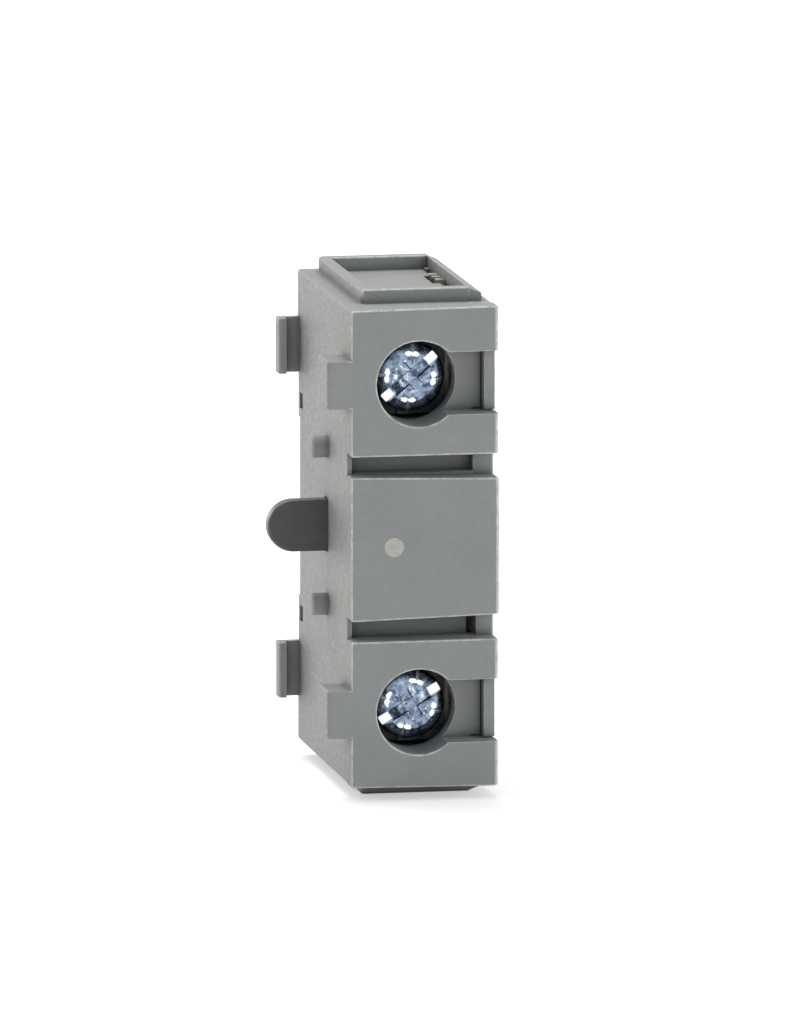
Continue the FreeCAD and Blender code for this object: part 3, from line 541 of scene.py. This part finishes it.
for side, turn in screws["turns"].items():
    low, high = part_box(side + "_terminal_screw")
    points, bright = screwPoints(screws, (high.y - low.y) / mm, turn)
    place = np.array([(low.x + high.x) / 2, low.y, (low.z + high.z) / 2])
    screw = closedMesh(side + "_pan_screw", points * mm + place)
    mark = screw.data.attributes.new("bright", "FLOAT", "POINT")
    mark.data.foreach_set("value", np.concatenate([bright.reshape(-1), [0.0, 0.0]]))
    screw.data.materials.append(metalLooks["zincBluePassivated"])
    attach(screw, side + "_screw")
    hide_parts(side + "_terminal_screw")
print("screws cut:", len(screws["turns"]))


# A plain printed dot on the middle block

dot = {"x": 3.97, "z": 0.17, "radius": 0.95, "thickness": 0.02}


def dotPoints(look, rings=10, around=64):
    # Polar grid: full thickness inside, falling as a quarter circle over the outer tenth
    share = np.linspace(0.001, 1, rings)[:, None]
    angle = np.linspace(0, 2 * np.pi, around, endpoint=False)[None, :]
    fall = np.clip((share - 0.9) / 0.1, 0, 1)
    raised = look["thickness"] * np.sqrt(1 - fall ** 2) + 0 * angle
    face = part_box("housing")[0].y / mm
    x = look["x"] + look["radius"] * share * np.cos(angle)
    z = look["z"] + look["radius"] * share * np.sin(angle)
    return np.stack([x, face - raised + 0 * x, z], -1) * mm


printedDot = closedMesh("printed_dot", dotPoints(dot))
printedDot.data.materials.append(inkLook)
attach(printedDot, "base")
print("dot printed")


# Floor, light and camera

studio = {"floorSize": 6.0, "floorColour": "#f2f2f2", "floorGlow": 0.46, "worldStrength": 0.53,
          "worldColour": "#fbfdff"}


def makeFloor(look):
    # A single-sided white floor: seen from below it is clear, so the underside can be looked at
    size = look["floorSize"] / 2
    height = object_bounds()[0].z
    mesh = bpy.data.meshes.new("floor")
    corners = [(-size, -size, height), (size, -size, height), (size, size, height), (-size, size, height)]
    mesh.from_pydata(corners, [], [(0, 1, 2, 3)])
    floor = bpy.data.objects.new("floor", mesh)
    bpy.context.scene.collection.objects.link(floor)
    material = bpy.data.materials.new("paperMatte")
    material.use_nodes = True
    tree = material.node_tree
    tree.nodes.clear()
    strength = addNode(tree, "ShaderNodeMath", {"operation": "MULTIPLY", 1: look["floorGlow"]},
                       {0: seenByEye(tree)})
    paper = addNode(tree, "ShaderNodeBsdfDiffuse", {"Color": linearColour(look["floorColour"])})
    glow = addNode(tree, "ShaderNodeEmission", {}, {"Strength": strength.outputs["Value"]})
    both = addNode(tree, "ShaderNodeAddShader", {}, {0: paper.outputs["BSDF"], 1: glow.outputs["Emission"]})
    clear = addNode(tree, "ShaderNodeBsdfTransparent")
    below = addNode(tree, "ShaderNodeNewGeometry")
    mixed = addNode(tree, "ShaderNodeMixShader", {}, {0: below.outputs["Backfacing"],
                                                      1: both.outputs["Shader"], 2: clear.outputs["BSDF"]})
    addNode(tree, "ShaderNodeOutputMaterial", {}, {"Surface": mixed.outputs["Shader"]})
    mesh.materials.append(material)
    floor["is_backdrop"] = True


def makeWorld(look):
    # The world gives an even grey light; the camera and mirrors see it white
    world = bpy.data.worlds.new("studio")
    bpy.context.scene.world = world
    world.use_nodes = True
    tree = world.node_tree
    tree.nodes.clear()
    strength = addNode(tree, "ShaderNodeMapRange", {"To Min": look["worldStrength"], "To Max": 1.0},
                       {"Value": seenByEye(tree)})
    light = addNode(tree, "ShaderNodeBackground", {"Color": linearColour(look["worldColour"])},
                    {"Strength": strength.outputs["Result"]})
    addNode(tree, "ShaderNodeOutputWorld", {}, {"Surface": light.outputs["Background"]})


# Each lamp: the direction it shines from, its distance and size in metres, its power in watts, its colour
lamps = {
    "topSoftbox": {"from": (-0.15, 0.35, 0.95), "distance": 1.2, "size": 0.7, "power": 8.4,
                   "colour": "#fffaf1"},
    "backSoftbox": {"from": (-0.40, 0.90, 0.10), "distance": 1.2, "size": 0.5, "power": 2.6,
                    "colour": "#fffaf1"},
    "rightSoftbox": {"from": (0.90, -0.45, 0.30), "distance": 1.2, "size": 0.7, "power": 3.0,
                     "colour": "#f8fbff"},
}


def makeLamps(looks):
    for name, look in looks.items():
        data = bpy.data.lights.new(name, "AREA")
        data.shape = "SQUARE"
        data.size = look["size"]
        data.energy = look["power"]
        data.color = linearColour(look["colour"])[:3]
        lamp = bpy.data.objects.new(name, data)
        bpy.context.scene.collection.objects.link(lamp)
        direction = Vector(look["from"]).normalized()
        lamp.location = direction * look["distance"]
        lamp.rotation_mode = "QUATERNION"
        lamp.rotation_quaternion = (-direction).to_track_quat("-Z", "Y")


# Angles in degrees, round the object from the front; distances in metres; the aim is in millimetres
# to the right of and above the object's origin, as the camera sees it
view = {"yaw": 10.41, "elevation": 9.07, "distance": 1.845, "lens": 702.0, "aimRight": 6.96, "aimUp": 1.29}


def makeCamera(look):
    yaw, elevation = np.radians(look["yaw"]), np.radians(look["elevation"])
    back = Vector((-np.sin(yaw) * np.cos(elevation), -np.cos(yaw) * np.cos(elevation), np.sin(elevation)))
    right = Vector((np.cos(yaw), -np.sin(yaw), 0))
    up = back.cross(right)
    data = bpy.data.cameras.new("camera")
    data.lens = look["lens"]
    data.sensor_width = 36
    data.clip_end = 100
    camera = bpy.data.objects.new("camera", data)
    bpy.context.scene.collection.objects.link(camera)
    camera.location = back * look["distance"]
    aim = right * look["aimRight"] * mm + up * look["aimUp"] * mm
    camera.rotation_mode = "QUATERNION"
    camera.rotation_quaternion = (aim - camera.location).to_track_quat("-Z", "Y")
    bpy.context.scene.camera = camera


makeFloor(studio)
makeWorld(studio)
makeLamps(lamps)
makeCamera(view)
bpy.context.scene.view_settings.view_transform = "Standard"
print("floor, lamps and camera placed")
